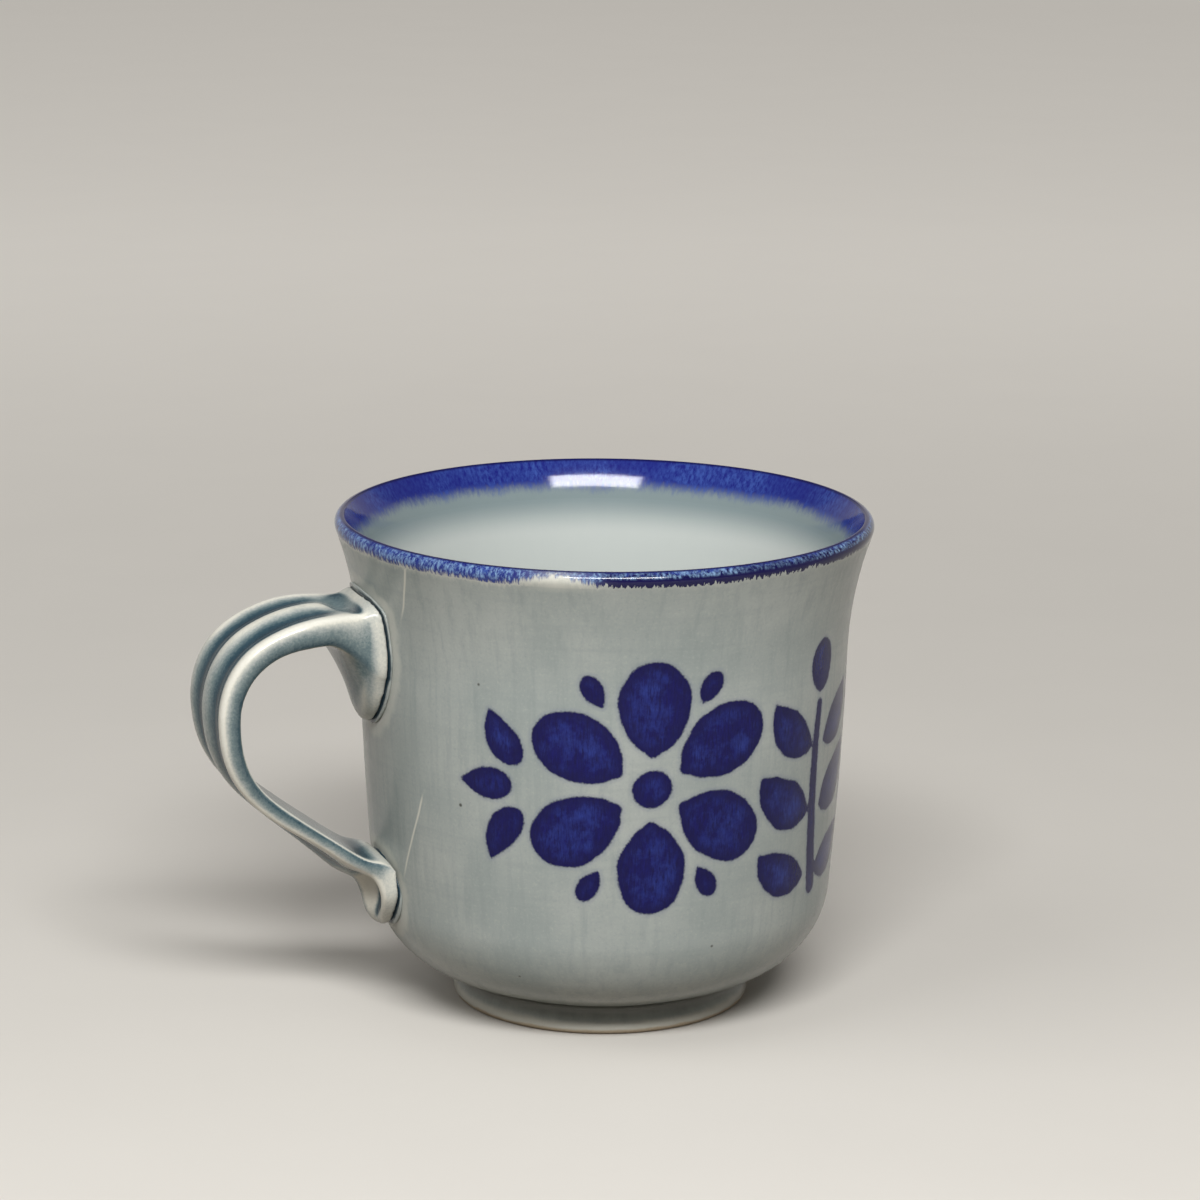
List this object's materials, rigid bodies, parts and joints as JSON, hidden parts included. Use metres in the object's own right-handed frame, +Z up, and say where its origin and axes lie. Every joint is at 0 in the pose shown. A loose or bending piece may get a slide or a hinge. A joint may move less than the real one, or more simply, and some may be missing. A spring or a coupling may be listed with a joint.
{
  "type": "mug",
  "caption": "Glazed stoneware mug with a flared cobalt lip, a turned foot ring and a ribbed, pulled strap handle stuck to the wall with slip, for hot or cold drinks.",
  "frame": {"origin": "centre of the foot ring, on the plane that the mug stands on", "axes": "+Z up along the cup's axis, the handle points along -X"},
  "size_m": [0.1131, 0.089, 0.0824],
  "materials": {
    "grey_green_glaze": "glossy glaze over stoneware",
    "foot_stoneware": "thin worn glaze over pale stoneware",
    "cobalt_glaze": "glossy brushed cobalt glaze",
    "pooled_glaze": "glossy glaze pooled dark in the joint",
    "handle_glaze": "glossy glaze that breaks pale on the ribs"
  },
  "bodies": {
    "root": {"cup_body": "grey_green_glaze", "foot_ring": "foot_stoneware", "rim_glaze_band": "cobalt_glaze", "upper_joint_slip": "pooled_glaze", "lower_joint_slip": "pooled_glaze", "handle": "handle_glaze"}
  },
  "joints": []
}
